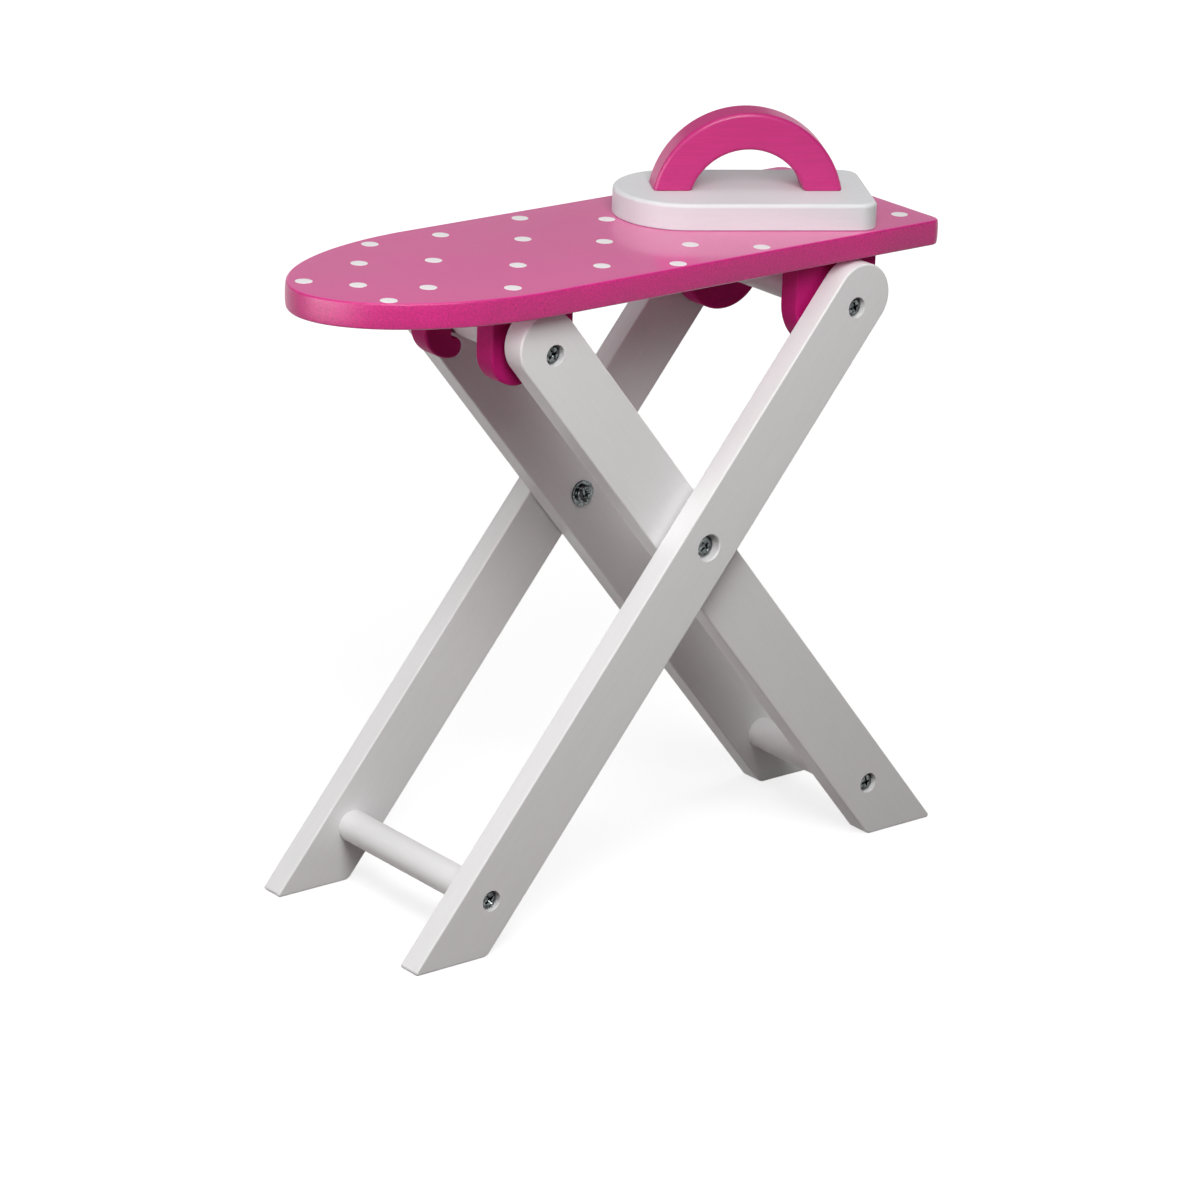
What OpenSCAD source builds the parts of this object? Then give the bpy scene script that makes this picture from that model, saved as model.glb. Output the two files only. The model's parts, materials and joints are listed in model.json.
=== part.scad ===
// Toy ironing board with scissor legs and a toy iron.
// Millimetres, +Z up, the nose of the board towards -X, left is -Y.
// The box of the whole object is centred on X = 0 and Y = 0, and the feet stand on Z = 0.

/* [Board] */
// Length of the board over nose and rear end
board_len = 254; // [230:1:280]
// Width of the board
board_w = 89; // [84:1:100]
// Thickness of the board
board_t = 9.3; // [8.5:0.1:12]
// Height of the board's top above the floor
board_h = 241; // [235:1:255]
// Length of the tapering nose
nose_len = 77; // [60:1:90]
// Fullness of the nose curve, 2 is an ellipse
nose_power = 1.94; // [1.8:0.02:2.2]
// Corner radius at the rear end
rear_corner_r = 4.5; // [2:0.5:10]
// Rounding of the board's edges
board_edge_r = 1.2; // [0.5:0.1:2]
// Distance from the leg crossing to the nose tip
nose_reach = 147.6; // [140:0.2:155]

/* [Legs] */
// Width of a leg
leg_w = 25; // [22:0.5:26]
// Thickness of a leg
leg_t = 9.7; // [9:0.1:11]
// Slope of the legs against the floor
leg_angle = 50.8; // [48:0.2:54]
// Crossing pivot to the upper dowel
leg_up = 102; // [98:0.5:106]
// Crossing pivot to the foot dowel
leg_down = 147.6; // [144:0.2:150]
// Distance from the upper dowel to the centre of the rounded end
leg_end = 4.3; // [2:0.1:4.4]
// How far the outer legs stand out past the board's edge
leg_out = 2.3; // [1.5:0.1:4]
// Gap between an outer and an inner leg
leg_gap = 0.9; // [0.6:0.1:1.5]
// Rounding of the sharp tip of a foot
toe_r = 1; // [0.5:0.1:2]
// Rounding of the blunt corner of a foot
heel_r = 4; // [2:0.5:8]

/* [Dowels and fasteners] */
// Diameter of the cross dowels
dowel_d = 12; // [10:0.2:12.4]
// Counterbore for a dowel screw
sink_d = 8.2; // [7.6:0.1:9]
// Depth of that counterbore
sink_depth = 4.6; // [4:0.1:5.5]
// Head diameter of a dowel screw
screw_head_d = 7.2; // [6.4:0.1:7.2]
// Head height of a dowel screw
screw_head_h = 2.8; // [2:0.1:3.2]
// Shank diameter of a dowel screw
screw_d = 3.6; // [3:0.1:4]
// How far a dowel screw reaches into its dowel
screw_bite = 18; // [12:1:22]
// Flange diameter of the crossing barrel
barrel_head_d = 9.4; // [8.8:0.1:9.6]
// Flange height of the crossing barrel
barrel_head_h = 2; // [1.6:0.1:2.4]
// Counterbore for that flange
barrel_sink_d = 10; // [9.8:0.1:11]
// Depth of the flange's counterbore
barrel_sink = 3.4; // [2.8:0.1:4]
// Diameter of the crossing barrel
barrel_d = 7; // [6:0.1:7.4]
// Diameter of the crossing screw
cross_screw_d = 4; // [3:0.1:4.4]
// Head diameter of the crossing screw
cross_head_d = 6.6; // [6:0.1:7]
// Head height of the crossing screw
cross_head_h = 2.4; // [2:0.1:2.8]
// Diameter of the washer under that head
washer_d = 9.6; // [9:0.1:11]
// Thickness of that washer
washer_t = 0.9; // [0.6:0.1:1.2]
// Diameter of the spacer between the legs
spacer_d = 15; // [12:0.5:18]
// Diameter of the hidden glue pins
pin_d = 5; // [4:0.5:6]

/* [Hangers under the board] */
// Height from the upper dowels to the underside of the board
hang_drop = 17.1; // [17.1:0.1:19]
// Radius of the rear bracket round the dowel
bracket_r = 18.7; // [15:0.1:20]
// Thickness of a rear bracket
bracket_t = 9.4; // [8:0.1:10]
// Gap between a rear bracket and the outer leg beside it
bracket_gap = 1.7; // [1:0.1:2.5]
// Thickness of a front hook
hook_t = 9.5; // [8:0.1:10]
// Gap between a front hook and the inner leg beside it
hook_gap = 2.6; // [1.5:0.1:5]
// Reach of the hook in front of the dowel's centre
hook_front = 18.2; // [16:0.1:20]
// Reach of the hook's upper bar behind the dowel's centre
hook_rear = 17.4; // [15:0.2:20]
// Front of the hook's rear lip behind the dowel's centre
lip_front = 9.5; // [9:0.1:11]
// Depth of that lip below the bar
lip_drop = 2.3; // [1.5:0.1:2.6]
// Corner radius low at the front of the hook
hook_r = 12; // [9:0.5:12]
// Radius of the lobe that holds the dowel
lobe_r = 3.8; // [3:0.1:4.2]
// Height of the lobe's centre below the dowel's centre
lobe_low = 9.3; // [8.8:0.1:10.5]

/* [Toy iron] */
// Length of the iron's base
iron_len = 93; // [80:1:96]
// Width of the iron's base
iron_w = 50; // [40:1:52]
// Thickness of the iron's base
iron_t = 9.7; // [8.5:0.1:12]
// Corner radius at the heel of the base
iron_heel_r = 6.5; // [3:0.5:10]
// Rounding of the base's edges
iron_edge_r = 1.5; // [0.6:0.1:2]
// Outer radius of the handle arch
handle_r = 35; // [30:0.5:36]
// Width of the handle's section across the arch
handle_band = 13.6; // [12:0.1:15]
// Thickness of the handle across the iron
handle_t = 13.6; // [12:0.1:16]
// Rounding of the handle's long edges
handle_edge_r = 1.3; // [0.5:0.1:2]
// Depth of the arch's centre below the base's top
handle_sink = 6.3; // [4:0.1:8]
// Handle's offset towards the heel
handle_shift = 1.6; // [0:0.1:3]
// Turn of the iron on the board
iron_yaw = -31; // [-40:1:-20]
// Iron's place along the board from the leg crossing
iron_x = 48; // [40:0.5:52]
// Iron's place across the board
iron_y = 1; // [-2:0.5:2]

/* [Fits] */
// Radial play of a glued or screwed joint
fit_play = 0.05; // [0.03:0.01:0.1]
// Radial play of a turning joint
run_play = 0.06; // [0.03:0.01:0.09]
// Play of the dowel in the hook
hook_play = 0.3; // [0.3:0.05:0.5]
// Play between faces that slide past each other
face_play = 0.1; // [0.05:0.01:0.2]

/* [Hidden] */
$fn = 64;
pink = [0.78, 0.2, 0.48];
white = [0.94, 0.94, 0.93];
zinc = [0.62, 0.63, 0.62];
beech = [0.8, 0.66, 0.46];

// Heights of the underside, the upper dowels, the crossing and the foot dowels
under_z = board_h - board_t;
top_z = under_z - hang_drop;
cross_z = top_z - leg_up * sin(leg_angle);
foot_z = cross_z - leg_down * sin(leg_angle);

// Floor points of an outer leg, from the crossing: sharp toe and blunt heel
toe_x = -cross_z / tan(leg_angle) - leg_w / 2 / sin(leg_angle);
heel_x = -cross_z / tan(leg_angle) + leg_w / 2 / sin(leg_angle);
// Extent of the rounded toe, which ends the object's box at the rear
toe_end = -toe_x - toe_r / tan(leg_angle / 2) + toe_r;
cross_x = (nose_reach - toe_end) / 2;
rear_x = cross_x + leg_up * cos(leg_angle);
front_x = cross_x - leg_up * cos(leg_angle);
outer_foot_x = cross_x - leg_down * cos(leg_angle);
inner_foot_x = cross_x + leg_down * cos(leg_angle);
nose_x = cross_x - nose_reach;

// Faces of the legs, brackets and hooks from the middle plane
outer_face = board_w / 2 + leg_out;
outer_in = outer_face - leg_t;
inner_face = outer_in - leg_gap;
inner_in = inner_face - leg_t;
bracket_in = outer_in - bracket_gap - bracket_t;
hook_in = inner_in - hook_gap - hook_t;
pin_hole_d = pin_d + 2 * fit_play;
pin_up = board_t - 3;
pin_down = 8;

// Points of the board's outline, drawn in from the edge by i
function nose_point(t, i) = [
    nose_x + nose_len - (nose_len - i) * pow(abs(cos(t)), 2 / nose_power),
    -(board_w / 2 - i) * sign(sin(t)) * pow(abs(sin(t)), 2 / nose_power)
];
function corner_point(t, i) = [
    nose_x + board_len - rear_corner_r + (rear_corner_r - i) * cos(t),
    (board_w / 2 - rear_corner_r) * sign(sin(t) + 0.001) + (rear_corner_r - i) * sin(t)
];
function board_points(i) = concat(
    [for (t = [90:-4.5:-90]) nose_point(t, i)],
    [for (t = [90:-15:15]) corner_point(t, i)],
    [[nose_x + board_len - i, board_w / 2 - rear_corner_r]],
    [[nose_x + board_len - i, -board_w / 2 + rear_corner_r]],
    [for (t = [-15:-15:-90]) corner_point(t, i)]
);

// A flat plate in the X-Z plane from y0 to y0 + t
module plate(y0, t) {
    translate([0, y0 + t, 0])
        rotate([90, 0, 0])
            linear_extrude(t)
                children();
}

// A round rod along +Y
module rod(x, y, z, d, len) {
    translate([x, y, z])
        rotate([-90, 0, 0])
            cylinder(d = d, h = len);
}

// The same thing on the right and, mirrored, on the left
module both_sides() {
    children();
    mirror([0, 1, 0])
        children();
}

// The part of a plate's corner that a radius r takes away.
// k is the corner, e1 and e2 point along its edges, phi is the angle between them.
module corner_cut(k, e1, e2, phi, r) {
    mid = (e1 + e2) / norm(e1 + e2);
    q = k + mid * r / sin(phi / 2);
    difference() {
        polygon([k + e1 * r / tan(phi / 2), q, k + e2 * r / tan(phi / 2), k - mid * 2]);
        translate(q)
            circle(r);
    }
}

// Side view of an outer leg about the crossing: rounded top at the rear, foot at the front
module leg_profile() {
    along = [cos(leg_angle), sin(leg_angle)];
    difference() {
        rotate(leg_angle) {
            translate([-leg_down - 3 * leg_w, -leg_w / 2])
                square([leg_down + 3 * leg_w + leg_up + leg_end, leg_w]);
            translate([leg_up + leg_end, 0])
                circle(d = leg_w);
        }
        translate([-2 * leg_down, -cross_z - 4 * leg_w])
            square([3 * leg_down, 4 * leg_w]);
        corner_cut([toe_x, -cross_z], [1, 0], along, leg_angle, toe_r);
        corner_cut([heel_x, -cross_z], [-1, 0], along, 180 - leg_angle, heel_r);
    }
}

// Counterbored holes for the two dowel screws of a leg on the right
module screw_holes(xs, zs, face) {
    for (i = [0, 1]) {
        rod(xs[i], face - sink_depth, zs[i], sink_d, sink_depth + 1);
        rod(xs[i], face - leg_t - 1, zs[i], screw_d + 2 * fit_play, leg_t + 1);
    }
}

module outer_leg() {
    difference() {
        translate([cross_x, 0, cross_z])
            plate(outer_in, leg_t)
                leg_profile();
        screw_holes([rear_x, outer_foot_x], [top_z, foot_z], outer_face);
        rod(cross_x, outer_face - barrel_sink, cross_z, barrel_sink_d, barrel_sink + 1);
        rod(cross_x, outer_in - 1, cross_z, barrel_d + 2 * fit_play, leg_t + 1);
    }
}

module inner_leg() {
    difference() {
        translate([cross_x, 0, cross_z])
            plate(inner_in, leg_t)
                mirror([1, 0])
                    leg_profile();
        screw_holes([front_x, inner_foot_x], [top_z, foot_z], inner_face);
        rod(cross_x, inner_in - 1, cross_z, barrel_d + 2 * run_play, leg_t + 2);
    }
}

// A round dowel between two legs, drilled for a screw at each end
module cross_dowel(x, z, half) {
    difference() {
        rod(x, -half, z, dowel_d, 2 * half);
        rod(x, half - screw_bite - 1, z, screw_d + 2 * fit_play, screw_bite + 2);
        rod(x, -half - 1, z, screw_d + 2 * fit_play, screw_bite + 2);
    }
}

// Cross recess of a screw head, d wide, sunk into a face at z = 0
module cross_recess(d) {
    for (a = [0, 90])
        rotate(a)
            translate([-d / 2, -0.4, -1.2])
                cube([d, 0.8, 2]);
}

// A screw with its head's seat at z = 0 and its shank towards -z
module pan_screw(head_d, head_h, shank_d, shank_len) {
    difference() {
        union() {
            cylinder(d = head_d, h = head_h * 0.5);
            translate([0, 0, head_h * 0.5])
                cylinder(d1 = head_d, d2 = head_d * 0.7, h = head_h * 0.5);
            translate([0, 0, -shank_len])
                cylinder(d = shank_d, h = shank_len + head_h * 0.25);
        }
        translate([0, 0, head_h])
            cross_recess(head_d * 0.55);
    }
}

// The dowel screws at both ends of one dowel
module dowel_screws(x, z, face) {
    both_sides()
        translate([x, face - sink_depth, z])
            rotate([-90, 0, 0])
                pan_screw(screw_head_d, screw_head_h, screw_d, leg_t - sink_depth + screw_bite);
}

// Flanged barrel at the crossing on the right, threaded hole towards the middle
module pivot_barrel() {
    seat = outer_face - barrel_sink;
    difference() {
        union() {
            rod(cross_x, seat, cross_z, barrel_head_d, barrel_head_h);
            rod(cross_x, inner_in - face_play, cross_z, barrel_d, seat - inner_in + face_play + 0.5);
        }
        rod(cross_x, inner_in - 1, cross_z, cross_screw_d + 2 * fit_play, 15);
        translate([cross_x, seat + barrel_head_h, cross_z])
            rotate([-90, 0, 0])
                cross_recess(barrel_d * 0.7);
    }
}

module pivot_screw() {
    translate([cross_x, inner_in - face_play - washer_t, cross_z])
        rotate([90, 0, 0])
            pan_screw(cross_head_d, cross_head_h, cross_screw_d, 12);
}

module ring(x, y, z, d, bore, t) {
    difference() {
        rod(x, y, z, d, t);
        rod(x, y - 1, z, bore, t + 2);
    }
}

module pivot_washer() {
    ring(cross_x, inner_in - face_play - washer_t, cross_z, washer_d, cross_screw_d + 4 * fit_play, washer_t);
}

module spacer_washer() {
    ring(cross_x, inner_face + face_play, cross_z, spacer_d, barrel_d + 2 * fit_play, leg_gap - face_play);
}

// Upright glue pins that reach into the board from below, at the places xs on one side
module hanger_pins(xs, y, d, over) {
    for (x = xs)
        translate([x, y, under_z - pin_down - over])
            cylinder(d = d, h = pin_down + pin_up + 2 * over);
}

bracket_pin_xs = [rear_x - 0.6 * bracket_r, rear_x + 0.6 * bracket_r];
bracket_pin_y = bracket_in + bracket_t / 2;
hook_pin_xs = [front_x - hook_front + 6, front_x + hook_rear - 6];
hook_pin_y = hook_in + hook_t / 2;

module board_top() {
    color(pink)
        difference() {
            hull()
                for (t = [0:30:90])
                    translate([0, 0, under_z + board_edge_r * (1 - cos(t))])
                        linear_extrude(board_t - 2 * board_edge_r * (1 - cos(t)))
                            polygon(board_points(board_edge_r * (1 - sin(t))));
            both_sides() {
                hanger_pins(bracket_pin_xs, bracket_pin_y, pin_hole_d, 0.2);
                hanger_pins(hook_pin_xs, hook_pin_y, pin_hole_d, 0.2);
            }
        }
}

// U-shaped bracket round the rear dowel, on the right
module rear_bracket() {
    difference() {
        translate([rear_x, 0, top_z])
            plate(bracket_in, bracket_t) {
                intersection() {
                    circle(bracket_r);
                    translate([-bracket_r, -bracket_r])
                        square([2 * bracket_r, bracket_r]);
                }
                translate([-bracket_r, 0])
                    square([2 * bracket_r, hang_drop]);
            }
        rod(rear_x, bracket_in - 1, top_z, dowel_d + 2 * run_play, bracket_t + 2);
        hanger_pins(bracket_pin_xs, bracket_pin_y, pin_hole_d, 0.2);
    }
}

// Side view of a hook about the front dowel: open below the rear lip, with a lobe under the dowel
module hook_profile() {
    slot = dowel_d / 2 + hook_play;
    low = lobe_low + lobe_r;
    lip_r = lip_drop - 0.1;
    translate([-hook_front, slot])
        square([hook_front + hook_rear, hang_drop - slot]);
    difference() {
        translate([lip_front, slot - lip_drop])
            square([hook_rear - lip_front, lip_drop + 0.5]);
        corner_cut([lip_front, slot - lip_drop], [1, 0], [0, 1], 90, lip_r);
        corner_cut([hook_rear, slot - lip_drop], [-1, 0], [0, 1], 90, lip_r);
    }
    translate([-hook_front, hook_r - low])
        square([hook_front - slot, slot + low - hook_r + 0.5]);
    intersection() {
        translate([hook_r - hook_front, hook_r - low])
            circle(hook_r);
        translate([-hook_front, -low])
            square([hook_front - slot, hook_r]);
    }
    translate([-slot + 0.7, -lobe_low])
        circle(lobe_r);
    difference() {
        translate([-slot - 0.5, 0])
            square([slot + 0.5, slot + 0.5]);
        circle(slot);
    }
}

module front_hook() {
    difference() {
        translate([front_x, 0, top_z])
            plate(hook_in, hook_t)
                hook_profile();
        hanger_pins(hook_pin_xs, hook_pin_y, pin_hole_d, 0.2);
    }
}

module front_hook_left() {
    color(pink)
        mirror([0, 1, 0])
            front_hook();
}

module front_hook_right() {
    color(pink)
        front_hook();
}

module rear_bracket_left() {
    color(pink)
        mirror([0, 1, 0])
            rear_bracket();
}

module rear_bracket_right() {
    color(pink)
        rear_bracket();
}

module hook_pins() {
    color(beech)
        both_sides()
            hanger_pins(hook_pin_xs, hook_pin_y, pin_d, 0);
}

module bracket_pins() {
    color(beech)
        both_sides()
            hanger_pins(bracket_pin_xs, bracket_pin_y, pin_d, 0);
}

module outer_leg_left() {
    color(white)
        mirror([0, 1, 0])
            outer_leg();
}

module outer_leg_right() {
    color(white)
        outer_leg();
}

module inner_leg_left() {
    color(white)
        mirror([0, 1, 0])
            inner_leg();
}

module inner_leg_right() {
    color(white)
        inner_leg();
}

module rear_pivot_dowel() {
    color(white)
        cross_dowel(rear_x, top_z, outer_in);
}

module outer_foot_dowel() {
    color(white)
        cross_dowel(outer_foot_x, foot_z, outer_in);
}

module front_catch_dowel() {
    color(white)
        cross_dowel(front_x, top_z, inner_in);
}

module inner_foot_dowel() {
    color(white)
        cross_dowel(inner_foot_x, foot_z, inner_in);
}

module outer_top_screws() {
    color(zinc)
        dowel_screws(rear_x, top_z, outer_face);
}

module outer_foot_screws() {
    color(zinc)
        dowel_screws(outer_foot_x, foot_z, outer_face);
}

module inner_top_screws() {
    color(zinc)
        dowel_screws(front_x, top_z, inner_face);
}

module inner_foot_screws() {
    color(zinc)
        dowel_screws(inner_foot_x, foot_z, inner_face);
}

module pivot_barrel_left() {
    color(zinc)
        mirror([0, 1, 0])
            pivot_barrel();
}

module pivot_barrel_right() {
    color(zinc)
        pivot_barrel();
}

module pivot_screw_left() {
    color(zinc)
        mirror([0, 1, 0])
            pivot_screw();
}

module pivot_screw_right() {
    color(zinc)
        pivot_screw();
}

module pivot_washer_left() {
    color(zinc)
        mirror([0, 1, 0])
            pivot_washer();
}

module pivot_washer_right() {
    color(zinc)
        pivot_washer();
}

module spacer_washer_left() {
    color(zinc)
        mirror([0, 1, 0])
            spacer_washer();
}

module spacer_washer_right() {
    color(zinc)
        spacer_washer();
}

// Moves the iron from its own frame, nose towards -X and base on z = 0, onto the board
module on_board() {
    translate([cross_x + iron_x, iron_y, board_h + fit_play])
        rotate(iron_yaw)
            children();
}

// Outline of the iron's base, drawn in from the edge by i
module iron_outline(i) {
    hull() {
        translate([-iron_len / 2 + iron_w / 2, 0])
            circle(iron_w / 2 - i);
        for (s = [-1, 1])
            translate([iron_len / 2 - iron_heel_r, s * (iron_w / 2 - iron_heel_r)])
                circle(iron_heel_r - i, $fn = 32);
    }
}

handle_foot = sqrt(pow(handle_r - handle_band / 2, 2) - pow(handle_sink, 2));
handle_pin_xs = [handle_shift - handle_foot, handle_shift + handle_foot];
handle_pin_up = 7;
handle_pin_down = iron_t - 4;

// Upright pins between the iron's handle and its base
module handle_pins(d, over) {
    for (x = handle_pin_xs)
        translate([x, 0, iron_t - handle_pin_down - over])
            cylinder(d = d, h = handle_pin_down + handle_pin_up + 2 * over);
}

module iron_base() {
    color(white)
        on_board()
            difference() {
                hull()
                    for (t = [0:30:90])
                        translate([0, 0, iron_edge_r * (1 - cos(t))])
                            linear_extrude(iron_t - 2 * iron_edge_r * (1 - cos(t)))
                                iron_outline(iron_edge_r * (1 - sin(t)));
                handle_pins(pin_hole_d, 0.2);
            }
}

// Section of the handle, rounded at its four edges
module handle_section() {
    e = handle_edge_r;
    translate([handle_r - handle_band, -handle_t / 2]) {
        translate([e, 0])
            square([handle_band - 2 * e, handle_t]);
        translate([0, e])
            square([handle_band, handle_t - 2 * e]);
        for (x = [e, handle_band - e])
            for (y = [e, handle_t - e])
                translate([x, y])
                    circle(e);
    }
}

module iron_handle() {
    color(pink)
        on_board()
            difference() {
                translate([handle_shift, 0, iron_t - handle_sink])
                    rotate([90, 0, 0])
                        rotate_extrude()
                            handle_section();
                translate([-iron_len, -iron_w, iron_t - 2 * handle_r])
                    cube([2 * iron_len, 2 * iron_w, 2 * handle_r]);
                handle_pins(pin_hole_d, 0.2);
            }
}

module iron_pins() {
    color(beech)
        on_board()
            handle_pins(pin_d, 0);
}

board_top();
front_hook_left();
front_hook_right();
rear_bracket_left();
rear_bracket_right();
hook_pins();
bracket_pins();
outer_leg_left();
outer_leg_right();
rear_pivot_dowel();
outer_foot_dowel();
outer_top_screws();
outer_foot_screws();
pivot_barrel_left();
pivot_barrel_right();
pivot_screw_left();
pivot_screw_right();
pivot_washer_left();
pivot_washer_right();
spacer_washer_left();
spacer_washer_right();
inner_leg_left();
inner_leg_right();
front_catch_dowel();
inner_foot_dowel();
inner_top_screws();
inner_foot_screws();
iron_base();
iron_handle();
iron_pins();
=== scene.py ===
"""Looks of the toy ironing board: painted wood, sunk screws, printed dots, stage and camera."""

import json
import math

import bmesh
import bpy
from bpy.props import FloatProperty, FloatVectorProperty, PointerProperty, StringProperty
from mathutils import Matrix, Vector


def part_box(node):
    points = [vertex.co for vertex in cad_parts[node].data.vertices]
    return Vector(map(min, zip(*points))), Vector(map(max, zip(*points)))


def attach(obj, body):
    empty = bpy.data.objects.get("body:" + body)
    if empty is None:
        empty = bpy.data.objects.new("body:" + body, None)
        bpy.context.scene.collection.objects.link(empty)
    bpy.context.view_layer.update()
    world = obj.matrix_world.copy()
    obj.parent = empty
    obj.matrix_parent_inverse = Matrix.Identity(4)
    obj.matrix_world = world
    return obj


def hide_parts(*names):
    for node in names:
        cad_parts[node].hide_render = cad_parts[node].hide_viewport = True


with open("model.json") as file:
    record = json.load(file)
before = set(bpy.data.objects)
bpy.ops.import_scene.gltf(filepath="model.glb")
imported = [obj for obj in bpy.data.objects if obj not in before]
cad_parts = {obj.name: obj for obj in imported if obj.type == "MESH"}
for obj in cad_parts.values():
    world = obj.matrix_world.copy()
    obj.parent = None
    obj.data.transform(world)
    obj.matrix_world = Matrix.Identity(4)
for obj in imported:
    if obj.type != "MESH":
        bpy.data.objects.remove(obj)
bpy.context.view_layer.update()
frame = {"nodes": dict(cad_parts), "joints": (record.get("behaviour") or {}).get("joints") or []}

bl_info = {
    "name": "Toy Ironing Board",
    "version": (1, 0, 0),
    "blender": (4, 5, 0),
    "location": "View3D > Sidebar > Toy",
    "description": "Builds the painted pieces, screws and studio stage of a toy ironing board",
    "category": "Object",
}

MM = 0.001
BOARD_LOW, BOARD_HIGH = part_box("board_top")
OUTER_LEG_LOW, OUTER_LEG_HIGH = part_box("outer_leg_right")
INNER_LEG_LOW, INNER_LEG_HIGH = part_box("inner_leg_right")
BRACKET_LOW, BRACKET_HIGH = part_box("rear_bracket_right")
HOOK_LOW, HOOK_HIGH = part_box("front_hook_right")
IRON_LOW, IRON_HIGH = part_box("iron_base")
HINGES = {joint["name"]: Vector(joint.get("pos_m", (0, 0, 0))) for joint in frame["joints"]}
CROSSING = HINGES["leg_scissor"]
REAR_DOWEL = HINGES["rear_pivot"]
FRONT_DOWEL = Vector((2 * CROSSING.x - REAR_DOWEL.x, 0, REAR_DOWEL.z))
SIDES = {"left": -1, "right": 1}

# Widths and heights of the paint's orange peel, its patches of shade and the dents of the plating.
# Real peel, fibres and dents are too fine to show, so they are drawn coarser.
PEEL_WIDTH, PEEL_HEIGHT = 1.2 * MM, 0.006 * MM
PATCH_WIDTH = 38 * MM
DENT_WIDTH, DENT_HEIGHT = 0.9 * MM, 0.04 * MM

# The crossing barrel: its bore in the legs, and the radius and depth of its head's counterbore.
BARREL_BORE = 3.55 * MM
BARREL_SINK, BARREL_SEAT = 4.8 * MM, 4.2 * MM
PILOT_BORE = 1.85 * MM


class BoardSettings(bpy.types.PropertyGroup):
    """Sizes of the board and its hangers, and the colours of the paint."""

    pink: StringProperty(
        name="Pink paint", description="Colour of the edge, hangers and handle", default="#DA1F84")
    pink_face: StringProperty(
        name="Pink face", description="Colour of the board's lacquered faces", default="#E02091")
    dot_white: StringProperty(
        name="Dot paint", description="Colour of the printed dots", default="#F1EDEE")
    nose_length: FloatProperty(
        name="Nose length", description="Length of the tapering nose",
        default=77 * MM, subtype="DISTANCE")
    nose_power: FloatProperty(
        name="Nose fullness", description="Two gives an ellipse", default=1.94, min=1.5, max=3)
    corner_radius: FloatProperty(
        name="Rear corners", description="Corner radius at the rear end",
        default=4.5 * MM, subtype="DISTANCE")
    edge_radius: FloatProperty(
        name="Edge rounding", description="Rounding of the sawn edges",
        default=0.8 * MM, subtype="DISTANCE")
    edge_crown: FloatProperty(
        name="Edge crown", description="How far sanding takes the edge back",
        default=0.22 * MM, subtype="DISTANCE")
    dot_diameter: FloatProperty(
        name="Dot diameter", description="Diameter of a printed dot",
        default=6.1 * MM, subtype="DISTANCE")
    hanger_edge: FloatProperty(
        name="Hanger rounding", description="Rounding of hooks and brackets",
        default=1.2 * MM, subtype="DISTANCE")


class LegSettings(bpy.types.PropertyGroup):
    """Sizes of the legs and their fasteners."""

    white: StringProperty(
        name="White paint", description="Colour of legs and dowels", default="#EDEDED")
    zinc: StringProperty(name="Zinc plating", description="Colour of the screws", default="#7E8484")
    width: FloatProperty(
        name="Leg width", description="Width of a leg", default=25 * MM, subtype="DISTANCE")
    slope: FloatProperty(
        name="Leg slope", description="Slope of the legs against the floor",
        default=math.radians(50.8), subtype="ANGLE")
    above: FloatProperty(
        name="Above crossing", description="Crossing to the upper dowel",
        default=102 * MM, subtype="DISTANCE")
    below: FloatProperty(
        name="Below crossing", description="Crossing to the foot dowel",
        default=147.6 * MM, subtype="DISTANCE")
    end_offset: FloatProperty(
        name="End offset", description="Upper dowel to the centre of the round end",
        default=4.3 * MM, subtype="DISTANCE")
    edge_radius: FloatProperty(
        name="Edge rounding", description="Rounding of a leg's edges",
        default=0.7 * MM, subtype="DISTANCE")
    sink_diameter: FloatProperty(
        name="Screw sink", description="Counterbore of a dowel screw",
        default=7.6 * MM, subtype="DISTANCE")
    sink_depth: FloatProperty(
        name="Sink depth", description="Depth of that counterbore",
        default=4.6 * MM, subtype="DISTANCE")
    screw_head: FloatProperty(
        name="Screw head", description="Head diameter of a dowel screw",
        default=6.9 * MM, subtype="DISTANCE")


class IronSettings(bpy.types.PropertyGroup):
    """Sizes of the toy iron."""

    white: StringProperty(
        name="Base paint", description="Colour of the iron's base", default="#DDDFE0")
    length: FloatProperty(
        name="Base length", description="Length of the base", default=93 * MM, subtype="DISTANCE")
    width: FloatProperty(
        name="Base width", description="Width of the base", default=50 * MM, subtype="DISTANCE")
    heel_radius: FloatProperty(
        name="Heel corners", description="Corner radius at the heel",
        default=6.5 * MM, subtype="DISTANCE")
    edge_radius: FloatProperty(
        name="Edge rounding", description="Rounding of the base's edges",
        default=1.5 * MM, subtype="DISTANCE")
    yaw: FloatProperty(
        name="Turn", description="Turn of the iron on the board",
        default=math.radians(-31), subtype="ANGLE")
    handle_radius: FloatProperty(
        name="Handle radius", description="Outer radius of the arch",
        default=35 * MM, subtype="DISTANCE")
    handle_band: FloatProperty(
        name="Handle section", description="Width and thickness of the arch",
        default=13.6 * MM, subtype="DISTANCE")
    handle_sink: FloatProperty(
        name="Handle sink", description="Depth of the arch's centre below the base",
        default=6.3 * MM, subtype="DISTANCE")
    handle_shift: FloatProperty(
        name="Handle shift", description="Handle's offset towards the heel",
        default=1.6 * MM, subtype="DISTANCE")
    handle_edge: FloatProperty(
        name="Handle rounding", description="Rounding of the arch's edges",
        default=1.5 * MM, subtype="DISTANCE")


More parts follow.
